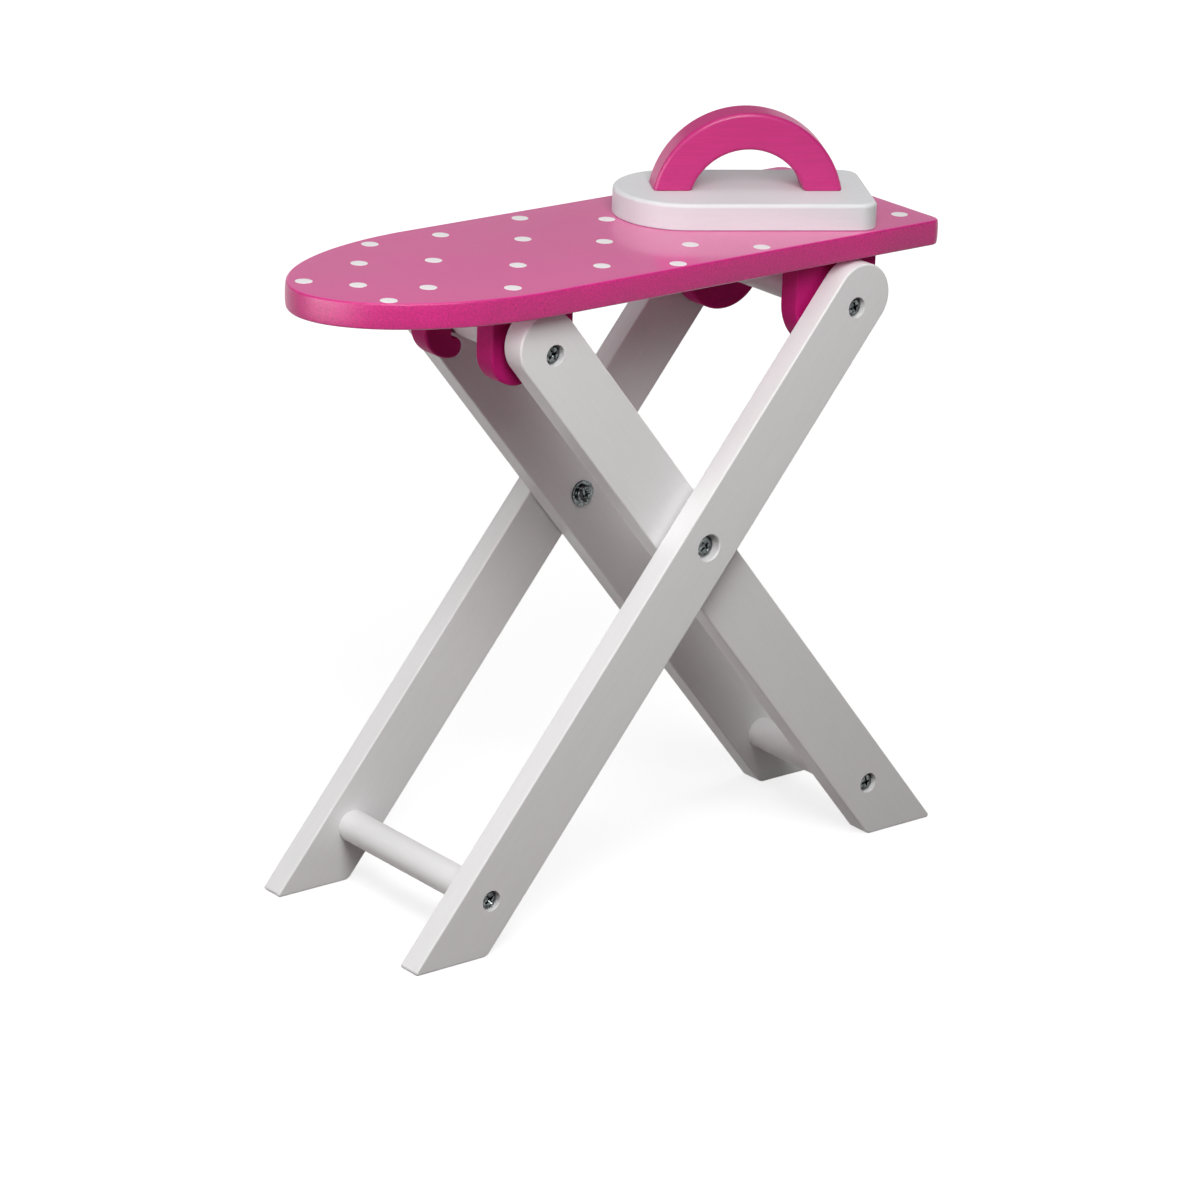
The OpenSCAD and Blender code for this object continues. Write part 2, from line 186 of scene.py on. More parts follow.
class StageSettings(bpy.types.PropertyGroup):
    """Light, floor and camera."""

    floor: StringProperty(name="Floor", description="Colour of the studio paper", default="#B2B2B2")
    floor_bounce: StringProperty(
        name="Floor bounce", description="Colour the paper throws on the toy", default="#421919")
    floor_lift: FloatProperty(
        name="Floor lift", description="Lift of the paper to white, as the camera sees it",
        default=0.72, min=0, max=1)
    key_power: FloatProperty(
        name="Key light", description="Power of the large soft box", default=5.6, subtype="POWER")
    nose_power: FloatProperty(
        name="Nose light", description="Power of the soft box before the nose",
        default=0.7, subtype="POWER")
    card_power: FloatProperty(
        name="Nose card", description="Level of the card that the nose mirrors",
        default=6.0, subtype="POWER")
    near_power: FloatProperty(
        name="Near light", description="Power of the near soft box", default=4.7, subtype="POWER")
    far_power: FloatProperty(
        name="Far light", description="Power of the soft box on the far side",
        default=7.5, subtype="POWER")
    rear_power: FloatProperty(
        name="Rear light", description="Power of the soft box behind the rear end",
        default=8.0, subtype="POWER")
    top_power: FloatProperty(
        name="Top light", description="Power of the soft box overhead",
        default=9.6, subtype="POWER")
    ambient: FloatProperty(
        name="Ambient", description="Level of the room's light", default=0.25, min=0, max=2)
    lens: FloatProperty(name="Lens", description="Focal length in millimetres", default=146.04)
    camera_place: FloatVectorProperty(
        name="Camera", description="Place of the camera",
        default=(-1.05515, -1.29161, 0.70124), subtype="TRANSLATION")
    camera_azimuth: FloatProperty(
        name="Azimuth", description="Direction of view round the object",
        default=math.radians(-39.246), subtype="ANGLE")
    camera_elevation: FloatProperty(
        name="Elevation", description="Height of view",
        default=math.radians(19.708), subtype="ANGLE")
    camera_roll: FloatProperty(
        name="Roll", description="Turn about the line of sight",
        default=math.radians(2.196), subtype="ANGLE")


class ToySettings(bpy.types.PropertyGroup):
    """All settings of the toy."""

    board: PointerProperty(type=BoardSettings)
    legs: PointerProperty(type=LegSettings)
    iron: PointerProperty(type=IronSettings)
    stage: PointerProperty(type=StageSettings)


def settings():
    """The scene's settings of the toy."""
    return bpy.context.scene.toy_ironing_board


def linear(hex_colour):
    """An sRGB hex value as linear red, green, blue and full alpha."""
    channels = [int(hex_colour[i:i + 2], 16) / 255 for i in (1, 3, 5)]
    return [c / 12.92 if c <= 0.04045 else ((c + 0.055) / 1.055) ** 2.4 for c in channels] + [1.0]


def darker(hex_colour, share):
    """A hex value with each channel taken to a share of itself."""
    return "#" + "".join(f"{round(int(hex_colour[i:i + 2], 16) * share):02X}" for i in (1, 3, 5))


def add_node(tree, kind, links=None, **values):
    """Adds a node, sets its properties and unlinked inputs, and links its other inputs."""
    node = tree.nodes.new(kind)
    for key, value in values.items():
        if hasattr(node, key):
            setattr(node, key, value)
        else:
            node.inputs[key.replace("_", " ")].default_value = value
    for socket, source in (links or {}).items():
        tree.links.new(source, node.inputs[socket])
    return node


def new_material(name):
    """An empty node material: its tree and its output node."""
    material = bpy.data.materials.new(name)
    material.use_nodes = True
    material.node_tree.nodes.clear()
    return material, material.node_tree, material.node_tree.nodes.new("ShaderNodeOutputMaterial")


def ramp_between(tree, factor, low, high, start, end):
    """A colour ramp from low to high, both linear colours, between two factor values."""
    ramp = add_node(tree, "ShaderNodeValToRGB", {"Fac": factor})
    ramp.color_ramp.elements[0].position = start
    ramp.color_ramp.elements[0].color = low
    ramp.color_ramp.elements[1].position = end
    ramp.color_ramp.elements[1].color = high
    return ramp


def sprayed_paint(name, colour, roughness, fibre_mm, fibre_height, shade_share,
                  grain=(1, 1, 1), turn=(0, 0, 0), lacquer=0.0, haze=0.0, shine=0.5):
    """Sprayed acrylic paint. Orange peel breaks the reflection up, and the fibres of the wood or
    fibreboard below show through as a slight relief and a faint change of shade. The fibres' width
    and height are in millimetres; grain is how much longer than that they are along each axis."""
    material, tree, out = new_material(name)
    place = add_node(tree, "ShaderNodeTexCoord")
    along = add_node(tree, "ShaderNodeMapping", {"Vector": place.outputs["Object"]},
                     vector_type="TEXTURE")
    along.inputs["Scale"].default_value = [fibre_mm * MM * g for g in grain]
    along.inputs["Rotation"].default_value = turn
    # One unit of this texture is one fibre wide.
    fibres = add_node(tree, "ShaderNodeTexNoise", {"Vector": along.outputs[0]},
                      Scale=1.0, Detail=3.0, Roughness=0.55)
    peel = add_node(tree, "ShaderNodeTexNoise", {"Vector": place.outputs["Object"]},
                    Scale=1 / PEEL_WIDTH, Detail=1.0)
    patches = add_node(tree, "ShaderNodeTexNoise", {"Vector": place.outputs["Object"]},
                       Scale=1 / PATCH_WIDTH, Detail=3.0)
    shade = add_node(tree, "ShaderNodeMix",
                     {"A": fibres.outputs["Fac"], "B": patches.outputs["Fac"]}, Factor=0.25)
    tone = ramp_between(tree, shade.outputs[0], linear(darker(colour, shade_share)), linear(colour),
                        0.36, 0.64)
    rough = add_node(tree, "ShaderNodeMapRange", {"Value": patches.outputs["Fac"]},
                     From_Min=0.3, From_Max=0.7, To_Min=roughness - 0.04, To_Max=roughness + 0.05)
    fine = add_node(tree, "ShaderNodeBump", {"Height": peel.outputs["Fac"]},
                    Strength=1.0, Distance=PEEL_HEIGHT)
    relief = add_node(tree, "ShaderNodeBump",
                      {"Height": fibres.outputs["Fac"], "Normal": fine.outputs[0]},
                      Strength=1.0, Distance=fibre_height * MM)
    paint = add_node(tree, "ShaderNodeBsdfPrincipled", {
        "Base Color": tone.outputs["Color"],
        "Roughness": rough.outputs[0],
        "Normal": relief.outputs[0],
        "Coat Normal": relief.outputs[0],
    }, IOR=1.45, Specular_IOR_Level=shine, Coat_Weight=lacquer, Coat_Roughness=0.14, Coat_IOR=1.55,
        Sheen_Weight=haze, Sheen_Roughness=0.5)
    tree.links.new(paint.outputs[0], out.inputs["Surface"])
    return material


def pink_paint():
    """Pink paint under clear lacquer on the sanded fibreboard face: a haze over a soft mirror."""
    return sprayed_paint("pink_lacquered_paint_on_fibreboard", settings().board.pink_face,
                         roughness=0.5, fibre_mm=0.9, fibre_height=0.004, shade_share=0.96,
                         lacquer=1.0, haze=0.23)


def pink_hanger_paint():
    """The same paint without lacquer on the hooks and brackets below the board: plain, with painted
    shade.
    """
    # Taken to 0.92 of the pink: painted shade from the board above.
    return sprayed_paint("pink_paint_on_plywood", darker(settings().board.pink, 0.92),
                         roughness=0.5, fibre_mm=0.6, fibre_height=0.02, shade_share=0.86,
                         shine=0.1)


def pink_edge_paint():
    """The same paint on a sawn fibreboard edge: raised fibres break its highlight into grains."""
    return sprayed_paint("pink_paint_on_sawn_fibreboard", settings().board.pink,
                         roughness=0.34, fibre_mm=0.55, fibre_height=0.12, shade_share=0.8,
                         shine=0.65)


def pink_wood_paint():
    """The same paint on the handle's wood: the grain lies across the arch as level streaks."""
    return sprayed_paint("pink_lacquered_paint_on_wood", darker(settings().board.pink, 0.9),
                         roughness=0.5, fibre_mm=0.7, fibre_height=0.014, shade_share=0.94,
                         grain=(24, 1, 1), turn=(0, 0, settings().iron.yaw), lacquer=0.3)


def white_paint(name, colour, roughness, grain, turn):
    """White satin paint on planed softwood: the grain runs along the piece as faint streaks."""
    return sprayed_paint("white_satin_paint_" + name, colour, roughness,
                         fibre_mm=0.8, fibre_height=0.005, shade_share=0.988,
                         grain=grain, turn=turn)


def dot_paint():
    """Screen-printed white enamel: a flat satin film without the lacquer's mirror."""
    return sprayed_paint("white_printed_enamel", settings().board.dot_white,
                         roughness=0.42, fibre_mm=0.6, fibre_height=0.002, shade_share=0.98)


def zinc_plating():
    """Bright zinc plating on pressed steel: a grey mirror with small dents, so that dark tones and
    sparks lie side by side."""
    material, tree, out = new_material("zinc_plated_steel_pressed")
    zinc = settings().legs.zinc
    place = add_node(tree, "ShaderNodeTexCoord")
    dents = add_node(tree, "ShaderNodeTexNoise", {"Vector": place.outputs["Object"]},
                     Scale=1 / DENT_WIDTH, Detail=3.0)
    recess = add_node(tree, "ShaderNodeAttribute", attribute_name="recess")
    plain = ramp_between(tree, dents.outputs["Fac"], linear(darker(zinc, 0.45)), linear(zinc),
                         0.35, 0.65)
    # Sockets 6 and 7 are the two colours of the mix; painted shade makes the cross recess darker.
    colour = add_node(tree, "ShaderNodeMix",
                      {"Factor": recess.outputs["Fac"], 6: plain.outputs["Color"]},
                      data_type="RGBA")
    colour.inputs[7].default_value = linear("#666A6A")
    rough = add_node(tree, "ShaderNodeMapRange", {"Value": dents.outputs["Fac"]},
                     To_Min=0.05, To_Max=0.12)
    relief = add_node(tree, "ShaderNodeBump", {"Height": dents.outputs["Fac"]},
                      Strength=1.0, Distance=DENT_HEIGHT)
    steel = add_node(tree, "ShaderNodeBsdfPrincipled", {
        "Base Color": colour.outputs[2], "Roughness": rough.outputs[0], "Normal": relief.outputs[0],
    }, Metallic=1.0)
    tree.links.new(steel.outputs[0], out.inputs["Surface"])
    return material


def bare_beech():
    """Turned beech, unpainted: pale brown with short darker flecks along the pin."""
    material, tree, out = new_material("bare_beech_turned")
    place = add_node(tree, "ShaderNodeTexCoord")
    along = add_node(tree, "ShaderNodeMapping", {"Vector": place.outputs["Object"]},
                     vector_type="TEXTURE")
    # Size of a fleck across and along the pin.
    along.inputs["Scale"].default_value = (0.5 * MM, 0.5 * MM, 3 * MM)
    flecks = add_node(tree, "ShaderNodeTexNoise", {"Vector": along.outputs[0]},
                      Scale=1.0, Detail=2.0)
    colour = ramp_between(tree, flecks.outputs["Fac"], linear("#A97F4F"), linear("#D3AF7C"),
                          0.3, 0.6)
    wood = add_node(tree, "ShaderNodeBsdfPrincipled", {"Base Color": colour.outputs["Color"]},
                    Roughness=0.6, IOR=1.5)
    tree.links.new(wood.outputs[0], out.inputs["Surface"])
    return material


MATERIALS = {}


def material_once(maker, *values):
    """A material of this script, made on its first use."""
    key = (maker.__name__,) + values
    if key not in MATERIALS:
        MATERIALS[key] = maker(*values)
    return MATERIALS[key]


def arc(centre, radius, start, end, steps):
    """Points on an arc, angles in degrees, both ends included."""
    angles = [math.radians(start + (end - start) * i / steps) for i in range(steps + 1)]
    return [(centre[0] + radius * math.cos(a), centre[1] + radius * math.sin(a)) for a in angles]


def without_repeats(points, gap=1e-6):
    """The outline without points that fall on the one before."""
    return [p for i, p in enumerate(points) if math.dist(p, points[i - 1]) > gap]


def inset(points, distance):
    """A closed anticlockwise outline drawn in by a distance."""
    moved = []
    for i, p in enumerate(points):
        before, after = points[i - 1], points[(i + 1) % len(points)]
        normals = []
        for a, b in ((before, p), (p, after)):
            length = math.dist(a, b)
            normals.append(((b[1] - a[1]) / length, (a[0] - b[0]) / length))
        (ax, ay), (bx, by) = normals
        # At a sharp corner the move is kept from growing without limit.
        share = distance / max(0.3, 1 + ax * bx + ay * by)
        moved.append((p[0] - share * (ax + bx), p[1] - share * (ay + by)))
    return moved


def add_loop(bm, points, place, depth):
    """A closed loop of vertices at one depth of a plate."""
    return [bm.verts.new(place(a, b, depth)) for a, b in points]


def bridge(bm, first, second, material=0):
    """Quads between two loops of the same length."""
    count = len(first)
    for i in range(count):
        j = (i + 1) % count
        face = bm.faces.new((first[i], first[j], second[j], second[i]))
        face.material_index = material


def fill_flat(bm, loops, material=0):
    """Fills a flat area between an outer loop and the loops of its holes."""
    edges = []
    for loop in loops:
        for i, vert in enumerate(loop):
            other = loop[(i + 1) % len(loop)]
            edges.append(bm.edges.get((vert, other)) or bm.edges.new((vert, other)))
    made = bmesh.ops.triangle_fill(bm, edges=edges, use_beauty=True)
    for item in made["geom"]:
        if isinstance(item, bmesh.types.BMFace):
            item.material_index = material


def plate_mesh(outline, low, high, edge, place, holes=(), low_edge=None, crown=0.0, rounds=5):
    """A plate with rounded edges: outline is anticlockwise, low and high are its two faces.
    A hole is a centre and (radius, depth) pairs from the high face to the low one. Crown is how far
    the sanded edge falls back from its middle. Faces and the near part of their rounding have
    material 0, the edge all round has material 1."""
    bm = bmesh.new()
    angles = [math.pi / 2 * i / rounds for i in range(rounds + 1)]
    low_edge = low_edge or edge
    steps = [(crown + low_edge * (1 - math.sin(a)), low + low_edge * (1 - math.cos(a)))
             for a in angles]
    if crown:
        middle, reach = (low + high) / 2, (high - low) / 2 - edge
        shares = [i / rounds - 1 for i in range(1, 2 * rounds)]
        steps += [(crown * abs(share) ** 3, middle + reach * share) for share in shares]
    steps += [(crown + edge * (1 - math.sin(a)), high - edge * (1 - math.cos(a)))
              for a in reversed(angles)]
    loops = [add_loop(bm, inset(outline, d) if d else outline, place, depth) for d, depth in steps]
    for i, (first, second) in enumerate(zip(loops, loops[1:])):
        bridge(bm, first, second, 1 if rounds // 2 <= i < len(loops) - 1 - rounds // 2 else 0)
    tops, bottoms = [loops[-1]], [loops[0]]
    for centre, profile in holes:
        rings = [add_loop(bm, arc(centre, radius, 0, 360, 48)[:-1], place, depth)
                 for radius, depth in profile]
        for first, second in zip(rings, rings[1:]):
            bridge(bm, first, second, 0)
        tops.append(rings[0])
        bottoms.append(rings[-1])
    fill_flat(bm, tops)
    fill_flat(bm, bottoms)
    return bm


def finish_piece(bm, name, body, materials, replaces=(), smooth=35):
    """Turns a closed bmesh into a piece that rides on a body and stands for CAD nodes."""
    bmesh.ops.recalc_face_normals(bm, faces=bm.faces)
    mesh = bpy.data.meshes.new(name)
    bm.to_mesh(mesh)
    bm.free()
    mesh.shade_smooth()
    mesh.set_sharp_from_angle(angle=math.radians(smooth))
    piece = bpy.data.objects.new(name, mesh)
    bpy.context.scene.collection.objects.link(piece)
    for material in materials:
        mesh.materials.append(material)
    weighted = piece.modifiers.new("flat_faces_first", "WEIGHTED_NORMAL")
    weighted.keep_sharp = True
    weighted.weight = 100
    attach(piece, body)
    if replaces:
        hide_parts(*replaces)
    return piece


def dress_node(name, material):
    """Gives a carried-over CAD node its material."""
    mesh = frame["nodes"][name].data
    mesh.materials.clear()
    mesh.materials.append(material)


def board_outline():
    """Anticlockwise outline of the board, nose towards -X."""
    board = settings().board
    half = (BOARD_HIGH.y - BOARD_LOW.y) / 2
    root = BOARD_LOW.x + board.nose_length
    power = 2 / board.nose_power
    radius = board.corner_radius
    points = arc((BOARD_HIGH.x - radius, half - radius), radius, 0, 90, 8)
    steps = 96
    for i in range(steps + 1):
        t = math.pi / 2 - math.pi * i / steps
        points.append((
            root - board.nose_length * abs(math.cos(t)) ** power,
            half * math.copysign(abs(math.sin(t)) ** power, math.sin(t)),
        ))
    points += arc((BOARD_HIGH.x - radius, radius - half), radius, -90, 0, 8)
    return without_repeats(points)


class TOY_OT_board(bpy.types.Operator):
    """Build the painted board"""

    bl_idname = "toy.board"
    bl_label = "Board"

    def execute(self, context):
        board = settings().board
        bm = plate_mesh(board_outline(), BOARD_LOW.z, BOARD_HIGH.z, board.edge_radius,
                        lambda a, b, t: (a, b, t), crown=board.edge_crown)
        finish_piece(bm, "board", "board",
                     [material_once(pink_paint), material_once(pink_edge_paint)], ["board_top"])
        return {"FINISHED"}


# Centres of the dots that show, in millimetres from the nose tip and from the middle line.
SHOWN_DOTS = (
    (56.0, 36.1), (38.4, 18.2), (22.3, -3.6), (9.2, 9.9), (20.1, -24.2), (84.5, 32.9), (62.7, 7.8),
    (41.0, -18.4), (122.3, 36.1), (106.2, 13.5), (84.1, -12.4), (65.3, -33.9), (148.4, 18.9),
    (129.1, -4.0), (108.6, -28.3), (152.7, -23.0), (172.5, -38.7), (133.2, -40.0), (244.5, -31.1),
)
# The same scatter under and behind the iron.
HIDDEN_DOTS = (
    (174.0, 38.5), (176.0, 0.5), (191.5, 22.0), (198.0, -16.5), (210.5, 39.0), (214.5, 4.0),
    (233.0, 24.5), (237.5, -7.5),
)


def dot_height(x, y, outline, board):
    """Height of the board's surface under a dot, on the flat or on the rounded edge."""
    reach, edge = 1.0, board.edge_radius
    for i, p in enumerate(outline):
        q = outline[i - 1]
        length = math.dist(p, q)
        dx, dy = q[0] - p[0], q[1] - p[1]
        along = max(0, min(1, ((x - p[0]) * dx + (y - p[1]) * dy) / length ** 2))
        reach = min(reach, math.dist((x, y), (p[0] + along * dx, p[1] + along * dy)))
    drop = max(0.0, edge + board.edge_crown - reach)
    return BOARD_HIGH.z - (edge - math.sqrt(max(0.0, edge ** 2 - drop ** 2)))


class TOY_OT_dots(bpy.types.Operator):
    """Print the dots on the board"""

    bl_idname = "toy.dots"
    bl_label = "Printed dots"

    def execute(self, context):
        board = settings().board
        outline = board_outline()
        film = 0.05 * MM
        # Ring radius as a share of the dot, and height of the film there; the rim lies just below
        # the paint.
        rings = ((1.0, -film), (0.995, 0.6 * film), (0.96, film), (0.6, film), (0.3, film))
        bm = bmesh.new()
        for x, y in SHOWN_DOTS + HIDDEN_DOTS:
            centre = (BOARD_LOW.x + x * MM, y * MM)
            loops = []
            for share, rise in rings:
                points = arc(centre, board.dot_diameter / 2 * share, 0, 360, 40)[:-1]
                loops.append([bm.verts.new((px, py, dot_height(px, py, outline, board) + rise))
                              for px, py in points])
            for first, second in zip(loops, loops[1:]):
                bridge(bm, first, second)
            bm.faces.new(loops[-1])
            bm.faces.new(loops[0])
        finish_piece(bm, "printed_dots", "board", [material_once(dot_paint)])
        return {"FINISHED"}


def bracket_outline(centre, radius, top):
    """U shape round the rear dowel, flat on top."""
    return without_repeats(
        [(centre.x + radius, top), (centre.x - radius, top)]
        + arc((centre.x, centre.z), radius, 180, 360, 40))


class TOY_OT_rear_brackets(bpy.types.Operator):
    """Build the two brackets of the rear dowel"""

    bl_idname = "toy.rear_brackets"
    bl_label = "Rear brackets"

    def execute(self, context):
        radius = (BRACKET_HIGH.x - BRACKET_LOW.x) / 2
        outline = bracket_outline(REAR_DOWEL, radius, BRACKET_HIGH.z)
        bore = 6.06 * MM
        low, high = BRACKET_LOW.y, BRACKET_HIGH.y
        hole = ((REAR_DOWEL.x, REAR_DOWEL.z), ((bore, high), (bore, low)))
        for side, sign in SIDES.items():
            bm = plate_mesh(outline, low, high, settings().board.hanger_edge,
                            lambda a, b, t: (a, sign * t, b), [hole])
            finish_piece(bm, "bracket_" + side, "board",
                         [material_once(pink_hanger_paint)] * 2, ["rear_bracket_" + side])
        return {"FINISHED"}


def hook_outline():
    """Hook round the front dowel: post in front, lobe below, bar above with a small rear lip."""
    x, z = FRONT_DOWEL.x, FRONT_DOWEL.z
    front, rear, top, low = HOOK_LOW.x, HOOK_HIGH.x, HOOK_HIGH.z, HOOK_LOW.z
    # Radii of the slot, of the sweep from post to lobe, of the lobe and of the lip's corners.
    slot, sweep, lobe, lip_r = 6.3 * MM, 12 * MM, 3.8 * MM, 2.2 * MM
    lip_drop, lip_shift, lobe_shift, lip_draft = 2.3 * MM, 9.5 * MM, 0.7 * MM, 0.1 * MM
    lip, lip_front = z + slot - lip_drop, x + lip_shift
    lobe_centre = (x - slot + lobe_shift, low + lobe)
    # The lobe's upper side meets the slot's wall here.
    meet = math.degrees(math.acos((x - slot - lobe_centre[0]) / lobe))
    points = [(rear, top), (front, top)]
    points += arc((front + sweep, low + sweep), sweep, 180, 270, 24)
    points += arc(lobe_centre, lobe, -90, meet, 24)
    points += arc((x, z), slot, 180, 90, 16)
    points += [(lip_front - lip_draft, z + slot)]
    points += arc((lip_front + lip_r, lip + lip_r), lip_r, 180, 270, 8)
    points += arc((rear - lip_r, lip + lip_r), lip_r, 270, 360, 8)
    return without_repeats(points)


class TOY_OT_front_hooks(bpy.types.Operator):
    """Build the two hooks of the front dowel"""

    bl_idname = "toy.front_hooks"
    bl_label = "Front hooks"

    def execute(self, context):
        outline = hook_outline()
        # The slim hooks are rounded a little less than the brackets.
        edge = settings().board.hanger_edge * 0.9
        for side, sign in SIDES.items():
            bm = plate_mesh(outline, HOOK_LOW.y, HOOK_HIGH.y, edge,
                            lambda a, b, t: (a, sign * t, b))
            finish_piece(bm, "hook_" + side, "board",
                         [material_once(pink_hanger_paint)] * 2, ["front_hook_" + side])
        return {"FINISHED"}


def leg_outline():
    """Outline of an outer leg about the crossing: round end up at the rear, foot down in front."""
    legs = settings().legs
    slope, half = legs.slope, legs.width / 2
    floor = -CROSSING.z
    along = (math.cos(slope), math.sin(slope))
    reach = legs.above + legs.end_offset
    end = (reach * along[0], reach * along[1])
    degrees = math.degrees(slope)
    # Corner radii of the foot.
    toe, heel = 1.0 * MM, 4.0 * MM
    middle = floor / math.tan(slope)
    toe_x = middle - half / math.sin(slope) + toe / math.tan(slope / 2)
    heel_x = middle + half / math.sin(slope) - heel / math.tan((math.pi - slope) / 2)
    points = arc(end, half, degrees - 90, degrees + 90, 32)
    points += arc((toe_x, floor + toe), toe, degrees + 90, 270, 10)
    points += arc((heel_x, floor + heel), heel, 270, degrees + 270, 10)
    return without_repeats(points)


def leg_piece(name, node, body, sign, mirrored, low, high, holes):
    """One leg on one side; the inner legs are mirrored front to back."""
    outline = [(CROSSING.x + (-a if mirrored else a), CROSSING.z + b) for a, b in leg_outline()]
    if mirrored:
        outline.reverse()
    legs = settings().legs
    bm = plate_mesh(outline, low, high, legs.edge_radius, lambda a, b, t: (a, sign * t, b), holes)
    # The grain runs along the leg: the fibres are drawn 16 times as long as they are wide.
    tilt = legs.slope - math.pi if mirrored else -legs.slope
    paint = material_once(white_paint, "on_" + body, legs.white, 0.42, (16, 1, 1), (0, tilt, 0))
    finish_piece(bm, name, body, [paint, paint], [node])


def sunk_hole(x, z, face, back):
    """A counterbored screw hole with softly rounded paint at its rim."""
    legs = settings().legs
    radius, rim = legs.sink_diameter / 2, 0.28 * MM
    floor = face - legs.sink_depth
    return ((x, z), (
        (radius + rim, face), (radius + 0.3 * rim, face - 0.12 * rim), (radius, face - rim),
        (radius, floor), (PILOT_BORE, floor), (PILOT_BORE, back)))


def outer_dowels():
    """Centres of the upper dowel and the foot dowel of the outer legs."""
    legs = settings().legs
    step = Vector((math.cos(legs.slope), 0, math.sin(legs.slope)))
    return CROSSING + step * legs.above, CROSSING - step * legs.below


class TOY_OT_legs(bpy.types.Operator):
    """Build the four legs"""

    bl_idname = "toy.legs"
    bl_label = "Legs"

    def execute(self, context):
        top, foot = outer_dowels()
        flip = 2 * CROSSING.x
        crossing, rim = (CROSSING.x, CROSSING.z), 0.35 * MM
        for side, sign in SIDES.items():
            low, high = OUTER_LEG_LOW.y, OUTER_LEG_HIGH.y
            seat = high - BARREL_SEAT
            holes = [sunk_hole(top.x, top.z, high, low), sunk_hole(foot.x, foot.z, high, low)]
            holes.append((crossing, (
                (BARREL_SINK + rim, high), (BARREL_SINK, high - rim), (BARREL_SINK, seat),
                (BARREL_BORE, seat), (BARREL_BORE, low))))
            leg_piece("leg_outer_" + side, "outer_leg_" + side, "outer_frame", sign, False,
                      low, high, holes)
            low, high = INNER_LEG_LOW.y, INNER_LEG_HIGH.y
            holes = [sunk_hole(flip - top.x, top.z, high, low),
                     sunk_hole(flip - foot.x, foot.z, high, low)]
            holes.append((crossing, ((BARREL_BORE, high), (BARREL_BORE, low))))
            leg_piece("leg_inner_" + side, "inner_leg_" + side, "inner_frame", sign, True,
                      low, high, holes)
        return {"FINISHED"}


class TOY_OT_dowels(bpy.types.Operator):
    """Paint the cross dowels and finish the hidden pins and rings"""

    bl_idname = "toy.dowels"
    bl_label = "Dowels and hidden pins"

    def execute(self, context):
        # The grain runs along the dowels, which lie across the toy.
        white = material_once(white_paint, "on_turned_dowels", settings().legs.white, 0.45,
                              (1, 12, 1), (0, 0, 0))
        for name in ("rear_pivot_dowel", "outer_foot_dowel", "front_catch_dowel",
                     "inner_foot_dowel"):
            dress_node(name, white)
        for name in ("hook_pins", "bracket_pins", "iron_pins"):
            dress_node(name, material_once(bare_beech))
        for side in SIDES:
            dress_node("spacer_washer_" + side, material_once(zinc_plating))
            dress_node("pivot_washer_" + side, material_once(zinc_plating))
        return {"FINISHED"}


def head_height(radius, x, y, height, cross):
    """Height of a domed screw head above its seat, and how deep the cross recess is there."""
    # Height of the head's rim and depth of the recess, as shares of the head's height.
    rim, recess = 0.66, 0.55
    # Half width of a wing of the recess as a share of its reach, at the hub and at the tip, and the
    # share of it that its sloping wall takes.
    hub, tip, slope = 0.276, 0.168, 0.28
    dome = height * (rim + (1 - rim) * math.sqrt(max(0.0, 1 - (math.hypot(x, y) / radius) ** 2.6)))
    depth = 0.0
    for a, b in ((x, y), (y, x)):
        reach = abs(a) / cross
        wing = abs(b) / (cross * (hub - (hub - tip) * reach))
        if reach < 1:
            wall = max(0.0, min(1.0, (1.0 - wing) / slope))
            depth = max(depth, (1 - reach ** 2) * wall * wall * (3 - 2 * wall))
    return dome - depth * height * recess, depth


def screw_into(bm, layer, centre, sign, radius, height, shank, length, cross, turn):
    """Adds one screw to a bmesh, its seat at centre and its head towards sign times Y."""
    rings, spokes = 26, 96
    loops = []
    for i in range(1, rings + 1):
        r = radius * i / rings
        loop = []
        for k in range(spokes):
            angle = 2 * math.pi * k / spokes
            x, y = r * math.cos(angle), r * math.sin(angle)
            h, deep = head_height(radius, x, y, height, cross)
            vert = bm.verts.new(screw_point(centre, sign, turn, x, y, h))
            # The recess depth is kept per vertex as the mask of the recess's painted shade.
            vert[layer] = deep
            loop.append(vert)
        loops.append(loop)
    # Side of the head, its flat underside, the shank and its small bevelled end.
    bevel, end = 0.15 * MM, 0.2 * MM
    profile = ((radius, 0.12 * height), (radius * 0.97, 0), (shank, 0), (shank, bevel - length),
               (end, -length))
    for r, h in profile:
        points = arc((0, 0), r, 0, 360, spokes)[:-1]
        loops.append([bm.verts.new(screw_point(centre, sign, turn, x, y, h)) for x, y in points])
    for first, second in zip(loops, loops[1:]):
        bridge(bm, first, second)
    h, deep = head_height(radius, 0, 0, height, cross)
    hub = bm.verts.new(screw_point(centre, sign, turn, 0, 0, h))
    hub[layer] = deep
    for k in range(spokes):
        bm.faces.new((hub, loops[0][k], loops[0][(k + 1) % spokes]))
    bm.faces.new(loops[-1])


def screw_point(centre, sign, turn, x, y, h):
    """A point of a screw that stands along Y and is turned about its axis."""
    c, s = math.cos(turn), math.sin(turn)
    return (centre[0] + c * x - s * y, centre[1] + sign * h, centre[2] + s * x + c * y)


def screw_piece(name, node, body, places, **sizes):
    """A piece of one or more like screws; a place is a seat, the head's direction and its turn."""
    bm = bmesh.new()
    # Depth of the cross recess per vertex, which darkens the zinc there as painted shade.
    layer = bm.verts.layers.float.new("recess")
    for seat, sign, turn in places:
        screw_into(bm, layer, seat, sign, turn=turn, **sizes)
    finish_piece(bm, name, body, [material_once(zinc_plating)], [node], smooth=40)


